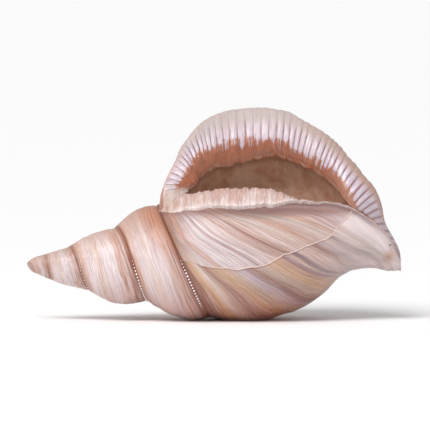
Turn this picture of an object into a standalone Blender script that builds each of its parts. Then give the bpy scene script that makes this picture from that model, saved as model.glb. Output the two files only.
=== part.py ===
"""Conch shell lying on its side with the mouth up, one grown piece.

All sizes are in millimetres and become metres in the mesh. The shell's axis runs along +X
from the apex to the canal tip, +Y points away from the mouth and +Z points up. Stations are
distances from the apex. An angle of 0 degrees faces -Y, and it grows down, back and up.
"""
import bmesh
import bpy
import math
import numpy as np

MM = 0.001
SHELL_LENGTH = 200.0
AXIS_Y = -8.8                 # the axis line beside the origin, which is under the box's centre
COLOUR = (0.72, 0.53, 0.45, 1.0)
ROUGHNESS = 0.42

# The suture is one spiral. It starts at the apex and ends where the lip meets the body.
TURN = 360.0
SUTURE_START = -423.0
SUTURE_TURNS = 5
SUTURE_ANGLES = (-423.0, -270.0, -90.0, 90.0, 270.0, 450.0, 630.0, 810.0, 990.0, 1017.0, 1170.0, 1377.0)
SUTURE_STATIONS = (0.0, 4.8, 9.4, 13.4, 22.5, 34.2, 47.1, 64.2, 69.0, 70.6, 96.3, 70.6)
SUTURE_RADII = (0.0, 3.4, 5.6, 6.9, 10.6, 13.2, 19.2, 21.0, 28.6, 29.4, 32.6, 29.4)
# Swell of a whorl between its sutures, as a share of its width, at the angles of the later suture.
SWELL_ANGLES = (-63.0, 450.0, 630.0, 810.0, 1377.0)
SWELLS = (0.02, 0.045, 0.10, 0.16, 0.15)
WHORL_ROUNDNESS = 0.75        # below 1, a whorl rises steeply beside its sutures
SHOULDER = 0.045              # how fast the body whorl rises from the suture
SUTURE_FADE = 1.3             # how fast the body's rows lose the suture's slant towards the tip

# Height of the axis above the floor. The body's lowest part is cut off flat at the floor.
AXIS_STATIONS = (0.0, 17.0, 28.0, 44.0, 60.0, 82.0, 103.0, 150.0, 168.0, 185.0, 193.0, 200.0)
AXIS_HEIGHTS = (30.0, 28.4, 28.6, 29.6, 31.5, 33.2, 33.7, 33.7, 34.2, 35.3, 33.2, 30.5)

# Radii of the body whorl at its front, underside, back and the start of the flare.
BODY_STATIONS = (70.0, 85.0, 96.0, 107.0, 120.0, 135.0, 148.0, 160.0, 168.0, 175.0, 185.0, 193.0, 200.0)
FRONT_RADII = (28.9, 31.0, 32.1, 32.6, 32.6, 30.5, 27.3, 22.5, 18.2, 14.4, 9.6, 6.4, 3.2)
UNDER_RADII = (26.7, 31.0, 32.9, 35.0, 35.8, 32.1, 27.5, 19.0, 11.2, 8.3, 8.3, 7.5, 4.3)
BACK_RADII = (30.0, 36.4, 40.6, 43.9, 46.0, 42.8, 37.4, 30.0, 23.5, 18.2, 11.2, 7.5, 3.2)
FLARE_RADII = (31.0, 45.0, 52.4, 57.8, 61.0, 57.8, 50.8, 40.6, 32.0, 23.5, 14.4, 9.0, 4.0)
FLARE_ANGLE = 215.0

# The mouth's outer side, corner to tip: crest of the lip, then the edge of the throat below it.
# Each point is its station, its distance behind the axis and its height.
CREST = ((71.3, -6.5, 68.5), (73.8, 0.5, 75.2), (77.5, 7.5, 83.0), (84.0, 18.2, 95.2), (93.6, 26.7, 105.2),
         (106.4, 32.6, 110.8), (121.4, 34.8, 112.6), (137.4, 33.2, 111.4), (151.3, 27.3, 105.0),
         (164.2, 20.3, 96.2), (173.8, 11.8, 86.4), (181.3, 5.3, 77.2), (186.6, 2.7, 69.9),
         (189.6, 2.1, 62.0), (191.7, 2.1, 51.9), (196.3, 2.1, 43.3), (199.4, 1.4, 36.5))
THROAT = ((86.2, -3.0, 69.0), (87.2, -1.7, 70.1), (90.4, 0.3, 72.7), (93.6, 3.8, 76.5), (98.4, 7.4, 79.7),
          (108.6, 12.2, 81.8), (121.4, 16.2, 85.0), (135.3, 17.0, 86.1), (144.9, 14.4, 82.9),
          (155.6, 8.8, 78.1), (164.2, 1.6, 71.1), (170.1, -5.0, 64.2), (174.9, -6.8, 59.9),
          (180.2, -4.3, 57.2), (186.6, -2.1, 51.9), (193.1, -1.1, 44.4), (196.6, -0.6, 40.0))
LEDGE_FRONT = ((77.0, -15.0, 58.3), (87.2, -17.1, 59.7), (103.2, -18.7, 60.8), (119.3, -19.3, 60.8),
               (132.6, -18.2, 61.6), (146.0, -16.6, 62.8), (159.4, -14.4, 62.7), (173.8, -10.7, 59.3),
               (185.0, -7.0, 51.9), (193.1, -4.3, 44.9))
LEDGE_INNER = ((87.2, -6.4, 67.7), (93.6, -8.0, 69.0), (104.3, -8.6, 70.6), (119.3, -8.6, 70.9),
               (133.2, -9.1, 69.5), (146.0, -9.6, 65.0), (159.4, -9.6, 62.8), (173.3, -8.0, 59.4),
               (184.5, -4.8, 52.7), (192.0, -2.7, 45.5))
THROAT_CORNER = (85.0, -4.3, 67.9)
THROAT_TIP = (197.3, -0.5, 38.5)

# The lip rolls outward between crest and throat, and ribs cross it. Both fade out into the canal.
# Shares are of the way along the mouth's edge, from the corner to the tip.
MOUTH_NORMAL = np.array((0.0, -0.75, 0.66))
LIP_ROLL = 7.5
LIP_ROUNDNESS = 0.6
ROLL_END = 0.9
ROLL_FADE = 0.2
CANAL_ROLL = 0.1              # share of the roll that is left in the canal
LIP_RIBS = 47
RIB_HEIGHT = 0.75
RIB_END = 0.84
LEDGE_ROLL = 1.6
LEDGE_FOLDS = 30
FOLD_HEIGHT = 0.35
FOLD_END = 0.8
RIDGE_FADE = 0.06

# The hollow behind the throat, deepest at its middle and shallow in the canal.
HOLLOW_DEPTH = 40.0
HOLLOW_WIDTH = 24.0
HOLLOW_BACK = 22.0
HOLLOW_END = 0.86             # share of the edge where the hollow becomes the canal's groove
GROOVE_DEPTH = 1.6
HOLLOW_SLANT = 0.25           # how far its floor lies back, as a share of its depth

# Facets
COLUMNS = 44
WHORL_ROWS = 5
BODY_ROWS = 38
CUTTER_SIZE = 0.3             # metres
WELD = 0.000002               # metres, joins the rows that meet where the spiral closes
TIP_CROWDING = 1.25           # rows stand closer towards the tip
MOUTH_RINGS = (0.13, 0.36, 0.62, 0.86, 1.0)
HOLLOW_RINGS = 6


def smooth_curve(keys, values, x):
    """Monotone cubic through the keys, for numbers or points."""
    keys = np.asarray(keys, float)
    values = np.asarray(values, float)
    if values.ndim == 1:
        values = values[:, None]
    step = np.diff(keys)[:, None]
    rise = np.diff(values, axis=0) / step
    slope = np.zeros_like(values)
    slope[0] = rise[0]
    slope[-1] = rise[-1]
    left = rise[:-1]
    right = rise[1:]
    same = (left * right) > 0.0
    total = np.where(same, left + right, 1.0)
    slope[1:-1] = np.where(same, 2.0 * left * right / total, 0.0)
    x = np.clip(np.atleast_1d(np.asarray(x, float)), keys[0], keys[-1])
    i = np.clip(np.searchsorted(keys, x, side="right") - 1, 0, len(keys) - 2)
    h = step[i]
    s = ((x - keys[i])[:, None]) / h
    result = (values[i] * (1 + 2 * s) * (1 - s) ** 2 + slope[i] * h * s * (1 - s) ** 2
              + values[i + 1] * s * s * (3 - 2 * s) + slope[i + 1] * h * s * s * (s - 1))
    return result[:, 0] if result.shape[1] == 1 else result


def flowing_curve(points, share):
    """Catmull-Rom curve through points, by share of the length of their chords."""
    points = np.asarray(points, float)
    chords = np.linalg.norm(np.diff(points[:, :3], axis=0), axis=1)
    keys = np.concatenate(([0.0], np.cumsum(chords)))
    keys /= keys[-1]
    slope = np.gradient(points, keys, axis=0)
    x = np.clip(np.atleast_1d(np.asarray(share, float)), 0.0, 1.0)
    i = np.clip(np.searchsorted(keys, x, side="right") - 1, 0, len(keys) - 2)
    h = (keys[i + 1] - keys[i])[:, None]
    s = (x - keys[i])[:, None] / h
    return (points[i] * (1 + 2 * s) * (1 - s) ** 2 + slope[i] * h * s * (1 - s) ** 2
            + points[i + 1] * s * s * (3 - 2 * s) + slope[i + 1] * h * s * s * (s - 1))


def suture_station(angle):
    return smooth_curve(SUTURE_ANGLES, SUTURE_STATIONS, angle)


def suture_radius(angle):
    return smooth_curve(SUTURE_ANGLES, SUTURE_RADII, angle)


def axis_height(station):
    return smooth_curve(AXIS_STATIONS, AXIS_HEIGHTS, station)


def around_axis(station, angle, radius):
    """Points at an angle and radius about the axis."""
    turn = np.radians(angle)
    return np.stack((station, -radius * np.cos(turn), axis_height(station) - radius * np.sin(turn)), axis=-1)


def polar(points):
    """Angle and radius about the axis."""
    rise = points[..., 2] - axis_height(points[..., 0])
    back = points[..., 1]
    return np.degrees(np.arctan2(-rise, -back)), np.hypot(rise, back)


def spire_row(turn_index, across, angles):
    """One row of a whorl between two turns of the suture, for angles in the spiral's first turn."""
    late = angles + TURN * turn_index
    early = late - TURN
    low = np.where(early < SUTURE_START, 0.0, suture_station(early))
    high = suture_station(late)
    inner = np.where(early < SUTURE_START, 0.0, suture_radius(early))
    outer = suture_radius(late)
    bulge = math.sin(math.pi * across) ** WHORL_ROUNDNESS if across > 0.0 else 0.0
    swell = smooth_curve(SWELL_ANGLES, SWELLS, late) * (high - low) * bulge
    radius = inner + (outer - inner) * across + swell
    return around_axis(low + (high - low) * across, late, radius)


LAST_ANGLE = SUTURE_ANGLES[-1]
CORNER = around_axis(suture_station(LAST_ANGLE), LAST_ANGLE, suture_radius(LAST_ANGLE))[0]
TIP = np.array((SHELL_LENGTH, 0.0, AXIS_HEIGHTS[-1]))


def mouth_side(edge, inner, share):
    """Points of a side's edge and of its inner line, at shares of the edge's length."""
    first = np.concatenate((CORNER, THROAT_CORNER))
    last = np.concatenate((TIP, THROAT_TIP))
    stations = np.vstack((first, np.hstack((np.asarray(edge), np.asarray(inner))), last))
    both = flowing_curve(stations, share)
    return both[:, :3], both[:, 3:]


def body_rows(rows, columns):
    """The body whorl as rows of points from the mouth's inner edge round to the crest of the lip."""
    share = 1.0 - (1.0 - np.linspace(0.0, 1.0, rows + 1)) ** TIP_CROWDING
    front, _ = mouth_side(LEDGE_FRONT, LEDGE_INNER, share)
    crest, _ = mouth_side(CREST, THROAT, share)
    front_angle, front_radius = polar(front)
    crest_angle, crest_radius = polar(crest)
    crest_angle = np.where(crest_angle < 0.0, crest_angle + TURN, crest_angle)
    crest_angle[-1] = crest_angle[-2]
    front_angle[-1] = front_angle[-2]
    around = np.linspace(0.0, 1.0, columns + 1)
    spiral = SUTURE_ANGLES[-1] - TURN + TURN * around
    suture = suture_station(spiral)
    step = suture_radius(spiral)
    points = []
    for row, v in enumerate(share):
        station = (front[row, 0] + (crest[row, 0] - front[row, 0]) * around
                   + (suture - suture[0]) * (1.0 - v) ** SUTURE_FADE)
        angle = front_angle[row] + (crest_angle[row] - front_angle[row]) * around
        knots = (front_angle[row], 0.0, 90.0, 180.0, FLARE_ANGLE, crest_angle[row])
        sides = [smooth_curve(BODY_STATIONS, side, station)
                 for side in (FRONT_RADII, UNDER_RADII, BACK_RADII, FLARE_RADII)]
        radius = np.empty(columns + 1)
        for c in range(columns + 1):
            values = (front_radius[row], *(side[c] for side in sides), crest_radius[row])
            radius[c] = round_section(knots, values, angle[c])
        rise = 1.0 - math.exp(-v / SHOULDER) * np.sin(math.pi * around) ** 0.5
        if row == 0:
            radius = step
        else:
            radius = step + (radius - step) * rise
        points.append(around_axis(station, angle, radius))
    points[-1][:] = TIP
    return share, points


def round_section(knots, values, angle):
    """Smooth radius at an angle through a section's knots."""
    knots = np.asarray(knots)
    values = np.asarray(values)
    slope = np.gradient(values, knots)
    i = int(np.clip(np.searchsorted(knots, angle, side="right") - 1, 0, len(knots) - 2))
    h = knots[i + 1] - knots[i]
    s = min(max((angle - knots[i]) / h, 0.0), 1.0)
    return (values[i] * (1 + 2 * s) * (1 - s) ** 2 + slope[i] * h * s * (1 - s) ** 2
            + values[i + 1] * s * s * (3 - 2 * s) + slope[i + 1] * h * s * s * (s - 1))


class Skin:
    """Collects points and faces."""

    def __init__(self):
        self.points = []
        self.faces = []

    def row(self, points):
        first = len(self.points)
        self.points.extend(tuple(p) for p in points)
        return list(range(first, len(self.points)))

    def bridge(self, a, b):
        """Quads between two rows of one length."""
        for i in range(len(a) - 1):
            self.faces.append((a[i], b[i], b[i + 1], a[i + 1]))

    def stitch(self, a, shares_a, b, shares_b):
        """Triangles between two rows of different lengths, by their shares along the edge."""
        i = 0
        j = 0
        while i < len(a) - 1 or j < len(b) - 1:
            step_a = shares_a[i + 1] if i < len(a) - 1 else 2.0
            step_b = shares_b[j + 1] if j < len(b) - 1 else 2.0
            if step_a <= step_b:
                self.faces.append((a[i], b[j], a[i + 1]))
                i += 1
            else:
                self.faces.append((a[i], b[j], b[j + 1]))
                j += 1


def lip_side(share):
    """Rings of the ribbed lip from crest to throat."""
    crest, throat = mouth_side(CREST, THROAT, share)
    ends = np.sin(np.pi * share) ** 0.8
    ribs = np.cos(2.0 * np.pi * LIP_RIBS * share) * np.clip((RIB_END - share) / RIDGE_FADE, 0.0, 1.0)
    fade = np.clip((ROLL_END - share) / ROLL_FADE, CANAL_ROLL, 1.0)
    rings = [crest]
    for w in MOUTH_RINGS:
        roll = LIP_ROLL * (4.0 * w * (1.0 - w)) ** LIP_ROUNDNESS
        rib = RIB_HEIGHT * ribs * (1.0 if w < 1.0 else 0.2)
        lift = (roll * fade + rib) * ends
        rings.append(crest + (throat - crest) * w + MOUTH_NORMAL * lift[:, None])
    return rings


def ledge_side(share):
    """Rings of the folded ledge from its front edge to the throat."""
    front, inner = mouth_side(LEDGE_FRONT, LEDGE_INNER, share)
    ends = np.sin(np.pi * share)
    folds = np.cos(2.0 * np.pi * LEDGE_FOLDS * share) * np.clip((FOLD_END - share) / RIDGE_FADE, 0.0, 1.0)
    rings = [front]
    for w in MOUTH_RINGS:
        roll = LEDGE_ROLL * (1.0 - w) ** 0.5
        fold = FOLD_HEIGHT * folds * (1.0 if w < 1.0 else 0.5)
        lift = (roll + fold) * ends
        rings.append(front + (inner - front) * w + MOUTH_NORMAL * lift[:, None])
    return rings


def hollow_side(edge, share, back):
    """Rings of one side of the hollow, from the throat down to its floor line."""
    throat = mouth_side(CREST, THROAT, share)[1]
    inner = mouth_side(LEDGE_FRONT, LEDGE_INNER, share)[1]
    open_share = np.clip(np.sin(np.pi * np.clip(share / HOLLOW_END, 0.0, 1.0)), 0.0, 1.0) ** 0.7
    depth = (open_share + GROOVE_DEPTH / HOLLOW_DEPTH * np.sin(np.pi * share))[:, None]
    floor = (throat + inner) * 0.5 + depth * HOLLOW_DEPTH * np.array((0.0, HOLLOW_SLANT, -1.0))
    if back:
        first = edge + depth * np.array((0.0, HOLLOW_BACK, 1.0))
        second = floor + depth * np.array((0.0, HOLLOW_WIDTH, 2.0))
    else:
        first = edge + depth * np.array((0.0, 1.0, -0.4 * HOLLOW_DEPTH))
        second = floor + depth * np.array((0.0, -0.45 * HOLLOW_WIDTH, 1.0))
    rings = []
    for ring in range(1, HOLLOW_RINGS + 1):
        s = ring / HOLLOW_RINGS
        rings.append(edge * (1 - s) ** 3 + first * 3 * s * (1 - s) ** 2
                     + second * 3 * s * s * (1 - s) + floor * s ** 3)
    return rings


def shell_skin():
    skin = Skin()
    angles = SUTURE_START + TURN * np.linspace(0.0, 1.0, COLUMNS + 1)
    previous = None
    for turn in range(SUTURE_TURNS):
        for step in range(WHORL_ROWS):
            row = skin.row(spire_row(turn, step / WHORL_ROWS, angles))
            if previous:
                skin.bridge(previous, row)
            previous = row
    share, rows = body_rows(BODY_ROWS, COLUMNS)
    grid = []
    for points in rows:
        row = skin.row(points)
        grid.append(row)
    skin.bridge(previous, grid[0])
    for a, b in zip(grid[:-1], grid[1:]):
        skin.bridge(a[1:-1], b[1:-1])

    lip_share = np.linspace(0.0, 1.0, 2 * LIP_RIBS + 1)
    lip = [skin.row(ring) for ring in lip_side(lip_share)]
    skin.stitch([row[-2] for row in grid], share, lip[0], lip_share)
    for a, b in zip(lip[:-1], lip[1:]):
        skin.bridge(b, a)
    ledge_share = np.linspace(0.0, 1.0, 2 * LEDGE_FOLDS + 1)
    ledge = [skin.row(ring) for ring in ledge_side(ledge_share)]
    skin.stitch(ledge[0], ledge_share, [row[1] for row in grid], share)
    for a, b in zip(ledge[:-1], ledge[1:]):
        skin.bridge(a, b)

    lip_edge = lip_side(share)[-1]
    ledge_edge = ledge_side(share)[-1]
    outer = [skin.row(ring) for ring in hollow_side(lip_edge, share, True)]
    inner = [skin.row(ring) for ring in hollow_side(ledge_edge, share, False)]
    skin.stitch(lip[-1], lip_share, outer[0], share)
    skin.stitch(inner[0], share, ledge[-1], ledge_share)
    for a, b in zip(outer[:-1], outer[1:]):
        skin.bridge(b, a)
    for a, b in zip(inner[:-1], inner[1:]):
        skin.bridge(a, b)
    return skin


def shell_material():
    material = bpy.data.materials.new("shell_pink")
    material.use_nodes = True
    shader = material.node_tree.nodes["Principled BSDF"]
    shader.inputs["Base Color"].default_value = COLOUR
    shader.inputs["Roughness"].default_value = ROUGHNESS
    shader.inputs["Metallic"].default_value = 0.0
    return material


def make_shell(collection):
    skin = shell_skin()
    offset = np.array((-0.5 * SHELL_LENGTH, AXIS_Y, 0.0))
    points = [tuple((np.array(p) + offset) * MM) for p in skin.points]
    mesh = bpy.data.meshes.new("shell")
    mesh.from_pydata(points, [], skin.faces)
    work = bmesh.new()
    work.from_mesh(mesh)
    bmesh.ops.remove_doubles(work, verts=work.verts, dist=WELD)
    bmesh.ops.recalc_face_normals(work, faces=work.faces)
    work.to_mesh(mesh)
    work.free()
    mesh.shade_smooth()
    mesh.materials.append(shell_material())
    shell = bpy.data.objects.new("shell", mesh)
    collection.objects.link(shell)
    return shell


def cut_base(shell, cutters):
    """Take off what lies below the floor, which leaves the flat that the shell rests on."""
    bpy.ops.mesh.primitive_cube_add(size=CUTTER_SIZE, location=(0.0, 0.0, -0.5 * CUTTER_SIZE))
    cutter = bpy.context.object
    cutter.name = "base_cutter"
    cutter.display_type = "WIRE"
    cutter.hide_render = True
    for owner in list(cutter.users_collection):
        owner.objects.unlink(cutter)
    cutters.objects.link(cutter)
    cut = shell.modifiers.new("flat_base", "BOOLEAN")
    cut.operation = "DIFFERENCE"
    cut.object = cutter


def main():
    for old in list(bpy.data.objects):
        bpy.data.objects.remove(old, do_unlink=True)
    collection = bpy.data.collections.new("conch_shell")
    cutters = bpy.data.collections.new("cutters")
    bpy.context.scene.collection.children.link(collection)
    bpy.context.scene.collection.children.link(cutters)
    shell = make_shell(collection)
    cut_base(shell, cutters)


main()
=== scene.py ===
"""Conch shell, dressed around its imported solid. It is laid out as a Blender add-on.

Sizes of the shell are in millimetres and become metres in the mesh. A station is a distance
along the shell's axis from the apex, and an angle about the axis is 0 at the front and grows
down, back and up. The growth map says where a point lies: on the whorls, turns of the spiral
along U and the share of the whorl's width along V, and at the mouth, shares along and across
the piece. The seam map gives the distance along and beside the suture in mm. On the lip its U
counts the ribs.
"""
import math

import bpy
import numpy as np
from bpy.props import FloatProperty, FloatVectorProperty, IntProperty, PointerProperty
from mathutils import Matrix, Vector
from mathutils.bvhtree import BVHTree


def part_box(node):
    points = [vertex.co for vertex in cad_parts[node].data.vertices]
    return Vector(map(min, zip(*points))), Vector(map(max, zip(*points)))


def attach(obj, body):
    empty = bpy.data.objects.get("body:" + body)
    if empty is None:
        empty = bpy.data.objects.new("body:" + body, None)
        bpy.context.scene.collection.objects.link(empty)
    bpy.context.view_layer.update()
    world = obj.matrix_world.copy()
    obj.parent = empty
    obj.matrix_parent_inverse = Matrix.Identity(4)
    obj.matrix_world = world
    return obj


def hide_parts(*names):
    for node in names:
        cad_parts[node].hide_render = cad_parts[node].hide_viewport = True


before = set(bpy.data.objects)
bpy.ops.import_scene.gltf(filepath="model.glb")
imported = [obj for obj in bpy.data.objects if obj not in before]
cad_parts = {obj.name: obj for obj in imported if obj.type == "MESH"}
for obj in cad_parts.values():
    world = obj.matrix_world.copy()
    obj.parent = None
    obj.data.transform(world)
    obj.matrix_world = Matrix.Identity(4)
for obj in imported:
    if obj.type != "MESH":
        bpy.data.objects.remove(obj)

bl_info = {
    "name": "Conch shell",
    "version": (1, 0, 0),
    "blender": (4, 5, 0),
    "location": "View3D > Sidebar > Shell",
    "description": "Models and dresses a conch shell and sets its stage",
    "category": "Add Mesh",
}

MM = 0.001
SHELL_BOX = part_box("shell")
SHELL_LENGTH = (SHELL_BOX[1].x - SHELL_BOX[0].x) / MM
AXIS_Y = -8.8                 # the axis line beside the origin, as in the solid

# The suture is one spiral from the apex to where the lip meets the body.
TURN = 360.0
SUTURE_START = -423.0
SUTURE_TURNS = 5
SUTURE_ANGLES = (-423, -270, -90, 90, 270, 450, 630, 810, 990, 1017, 1170, 1377)
SUTURE_STATIONS = (0.0, 4.8, 9.4, 13.4, 22.5, 34.2, 47.1, 64.2, 69.0, 70.6, 96.3, 70.6)
SUTURE_RADII = (0.0, 3.4, 5.6, 6.9, 10.6, 13.2, 19.2, 21.0, 28.6, 29.4, 32.6, 29.4)
SWELL_ANGLES = (-423, -243, -63, 450, 630, 810, 1377)
SWELLS = (0.18, 0.14, 0.04, 0.045, 0.10, 0.16, 0.15)
WHORL_ROUNDNESS = 0.75
SHOULDER = 0.045
SUTURE_FADE = 1.3
SUTURE_STEPS = 1500
CORNER_ANGLE = -63.0          # the angle at which the lip meets the body
# The apex is blunt: what is added to its radius in mm, dying out along this length in mm.
APEX_BLUNTNESS = 1.3
APEX_LENGTH = 5.0
# Beads in the sutures: their pitch, radius and shift towards the later whorl, in mm.
BEAD_PITCH = 1.8
BEAD_RADIUS = 0.6
BEAD_SHIFT = 0.55

AXIS_STATIONS = (0, 17, 28, 44, 60, 82, 103, 150, 168, 185, 193, 200)
AXIS_HEIGHTS = (30.0, 28.4, 28.6, 29.6, 31.5, 33.2, 33.7, 33.7, 34.2, 35.3, 33.2, 30.5)

BODY_STATIONS = (70, 85, 96, 107, 120, 135, 148, 160, 168, 175, 185, 193, 200)
FRONT_RADII = (28.9, 31.0, 32.1, 32.6, 32.6, 30.5, 27.3, 22.5, 18.2, 14.4, 9.6, 6.4, 3.2)
UNDER_RADII = (26.7, 31.0, 32.9, 35.0, 35.8, 32.1, 27.5, 19.0, 11.2, 8.3, 8.3, 7.5, 4.3)
BACK_RADII = (30.0, 36.4, 40.6, 43.9, 46.0, 42.8, 37.4, 30.0, 23.5, 18.2, 11.2, 7.5, 3.2)
FLARE_RADII = (31.0, 45.0, 52.4, 57.8, 61.0, 57.8, 50.8, 40.6, 32.0, 23.5, 14.4, 9.0, 4.0)
FLARE_ANGLE = 215.0

# Each point of the mouth is its station, its distance behind the axis and its height.
CREST = (
    (71.3, -6.5, 68.5), (73.8, 0.5, 75.2), (77.5, 7.5, 83.0), (84.0, 18.2, 95.2), (93.6, 26.7, 105.2),
    (106.4, 32.6, 110.8), (121.4, 34.8, 112.6), (137.4, 33.2, 111.4), (151.3, 27.3, 105.0),
    (164.2, 20.3, 96.2), (173.8, 11.8, 86.4), (181.3, 5.3, 77.2), (186.6, 2.7, 69.9), (189.6, 2.1, 62.0),
    (191.7, 2.1, 51.9), (196.3, 2.1, 43.3), (199.4, 1.4, 36.5)
)
THROAT = (
    (86.2, -3.0, 69.0), (87.2, -1.7, 70.1), (90.4, 0.3, 72.7), (93.6, 3.8, 76.5), (98.4, 7.4, 79.7),
    (108.6, 12.2, 81.8), (121.4, 16.2, 85.0), (135.3, 17.0, 86.1), (144.9, 14.4, 82.9), (155.6, 8.8, 78.1),
    (164.2, 1.6, 71.1), (170.1, -5.0, 64.2), (174.9, -6.8, 59.9), (180.2, -4.3, 57.2), (186.6, -2.1, 51.9),
    (193.1, -1.1, 44.4), (196.6, -0.6, 40.0)
)
LEDGE_FRONT = (
    (77.0, -15.0, 58.3), (87.2, -17.1, 59.7), (103.2, -18.7, 60.8), (119.3, -19.3, 60.8),
    (132.6, -18.2, 61.6), (146.0, -16.6, 62.8), (159.4, -14.4, 62.7), (173.8, -10.7, 59.3),
    (185.0, -7.0, 51.9), (193.1, -4.3, 44.9)
)
LEDGE_INNER = (
    (87.2, -6.4, 67.7), (93.6, -8.0, 69.0), (104.3, -8.6, 70.6), (119.3, -8.6, 70.9), (133.2, -9.1, 69.5),
    (146.0, -9.6, 65.0), (159.4, -9.6, 62.8), (173.3, -8.0, 59.4), (184.5, -4.8, 52.7), (192.0, -2.7, 45.5)
)
THROAT_CORNER = (85.0, -4.3, 67.9)
THROAT_TIP = (197.3, -0.5, 38.5)
MOUTH_NORMAL = np.array((0.0, -0.75, 0.66))
KNOB_SHARE = 0.41             # where a knob stands on the ledge
LEDGE_ROLL = 2.3
# The hollow closes at this share of the mouth's length. Its depth and the bulges of its walls are in mm.
HOLLOW_END = 0.86
HOLLOW_DEPTH = 40.0
HOLLOW_SLANT = 0.25
HOLLOW_BACK = ((0.0, 22.0, 1.0), (0.0, 24.0, 2.0))
HOLLOW_FRONT = ((0.0, 1.0, -16.0), (0.0, -10.8, 1.0))
BODY_MARK = 10.0              # added to the growth map's V on the body, to tell it from the spire

# Growth lines on the body whorl: where each of six evenly numbered lines crosses these angles.
LINE_ANGLES = (-55, -25, 0, 40, 90, 180, 247)
GROWTH_LINES = (
    (75.4, 81.8, 95.2, 124.0, 140.7, 118.0, 85.0),
    (82.9, 94.1, 117.1, 146.0, 159.4, 140.0, 110.0),
    (91.5, 113.9, 141.7, 164.2, 170.0, 157.0, 135.0),
    (100.5, 140.7, 164.7, 172.7, 177.0, 170.0, 157.0),
    (113.9, 170.0, 186.0, 191.5, 193.0, 187.0, 181.0),
    (200.0, 200.0, 200.0, 200.0, 200.0, 200.0, 200.0)
)

# The raised line on the body's front, as X and height in mm, and what scales it for a shader's curve.
RAISED_LINE = (
    (-12.0, 33.0), (-7.4, 31.3), (1.6, 29.8), (11.7, 29.2), (21.7, 30.3), (30.7, 33.1), (38.7, 37.0),
    (45.0, 39.3), (54.1, 42.6), (59.4, 44.3), (63.1, 46.7), (64.8, 49.5), (69.1, 54.1), (74.0, 59.5)
)
LINE_START = -12.0
LINE_REACH = 86.0
LINE_TOP = 60.0
# Two spots at the canal, as X and height in mm.
STAIN = (93.5, 34.5)
PIT = (94.2, 40.4)


def rgb(red, green, blue):
    """A colour given as on a screen, 0 to 255, as the shaders want it."""
    values = []
    for part in (red, green, blue):
        part /= 255.0
        values.append(part / 12.92 if part <= 0.04045 else ((part + 0.055) / 1.055) ** 2.4)
    return (*values, 1.0)


def clamp(x):
    return np.clip(x, 0.0, 1.0)


def cubic(first, last, first_slope, last_slope, step, s):
    """Between two values with their slopes, at a share s of the step."""
    return (first * (1 + 2 * s) * (1 - s) ** 2 + first_slope * step * s * (1 - s) ** 2
            + last * s * s * (3 - 2 * s) + last_slope * step * s * s * (s - 1))


def smooth_curve(keys, values, x):
    """Monotone cubic through the keys."""
    keys = np.asarray(keys, float)
    values = np.asarray(values, float)
    step = np.diff(keys)
    rise = np.diff(values) / step
    slope = np.concatenate((rise[:1], np.zeros(len(keys) - 2), rise[-1:]))
    same = rise[:-1] * rise[1:] > 0.0
    total = np.where(same, rise[:-1] + rise[1:], 1.0)
    slope[1:-1] = np.where(same, 2.0 * rise[:-1] * rise[1:] / total, 0.0)
    x = np.clip(np.asarray(x, float), keys[0], keys[-1])
    i = np.clip(np.searchsorted(keys, x, side="right") - 1, 0, len(keys) - 2)
    return cubic(values[i], values[i + 1], slope[i], slope[i + 1], step[i], (x - keys[i]) / step[i])


def flowing_curve(points, share):
    """Smooth curve through points, by share of the length of their first three columns' chords."""
    points = np.asarray(points, float)
    chords = np.linalg.norm(np.diff(points[:, :3], axis=0), axis=1)
    keys = np.concatenate(([0.0], np.cumsum(chords)))
    keys /= keys[-1]
    slope = np.gradient(points, keys, axis=0)
    x = clamp(np.atleast_1d(np.asarray(share, float)))
    i = np.clip(np.searchsorted(keys, x, side="right") - 1, 0, len(keys) - 2)
    h = (keys[i + 1] - keys[i])[:, None]
    return cubic(points[i], points[i + 1], slope[i], slope[i + 1], h, (x - keys[i])[:, None] / h)


def ripple(x, y, seed):
    """Smooth wandering between -1 and 1 on a grid of whole numbers."""
    size = 256
    table = np.random.RandomState(seed).uniform(-1.0, 1.0, (size, size))
    i = np.floor(x).astype(int)
    j = np.floor(y).astype(int)
    fx = x - i
    fy = y - j
    fx = fx * fx * (3.0 - 2.0 * fx)
    fy = fy * fy * (3.0 - 2.0 * fy)
    low = table[i % size, j % size] * (1 - fx) + table[(i + 1) % size, j % size] * fx
    high = table[i % size, (j + 1) % size] * (1 - fx) + table[(i + 1) % size, (j + 1) % size] * fx
    return low * (1 - fy) + high * fy


def wander(share, pace, seed):
    """Smooth wandering along one line, pace times over its length."""
    return ripple(share * pace, share * 0.0, seed)


def suture_station(angle):
    return smooth_curve(SUTURE_ANGLES, SUTURE_STATIONS, angle)


def suture_radius(angle):
    return smooth_curve(SUTURE_ANGLES, SUTURE_RADII, angle)


def suture_length(angle):
    """Millimetres along the suture from the apex."""
    steps = np.linspace(SUTURE_ANGLES[0], SUTURE_ANGLES[-1], SUTURE_STEPS)
    line = around_axis(suture_station(steps), steps, suture_radius(steps))
    length = np.concatenate(([0.0], np.cumsum(np.linalg.norm(np.diff(line, axis=0), axis=1))))
    return np.interp(angle, steps, length)


def axis_height(station):
    return smooth_curve(AXIS_STATIONS, AXIS_HEIGHTS, station)


def around_axis(station, angle, radius):
    turn = np.radians(angle)
    return np.stack((station, -radius * np.cos(turn), axis_height(station) - radius * np.sin(turn)), axis=-1)


def polar(points):
    rise = points[..., 2] - axis_height(points[..., 0])
    back = points[..., 1]
    return np.degrees(np.arctan2(-rise, -back)), np.hypot(rise, back)


CORNER = around_axis(suture_station(SUTURE_ANGLES[-1]), SUTURE_ANGLES[-1], suture_radius(SUTURE_ANGLES[-1]))
TIP = np.array((SHELL_LENGTH, 0.0, AXIS_HEIGHTS[-1]))


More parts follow.
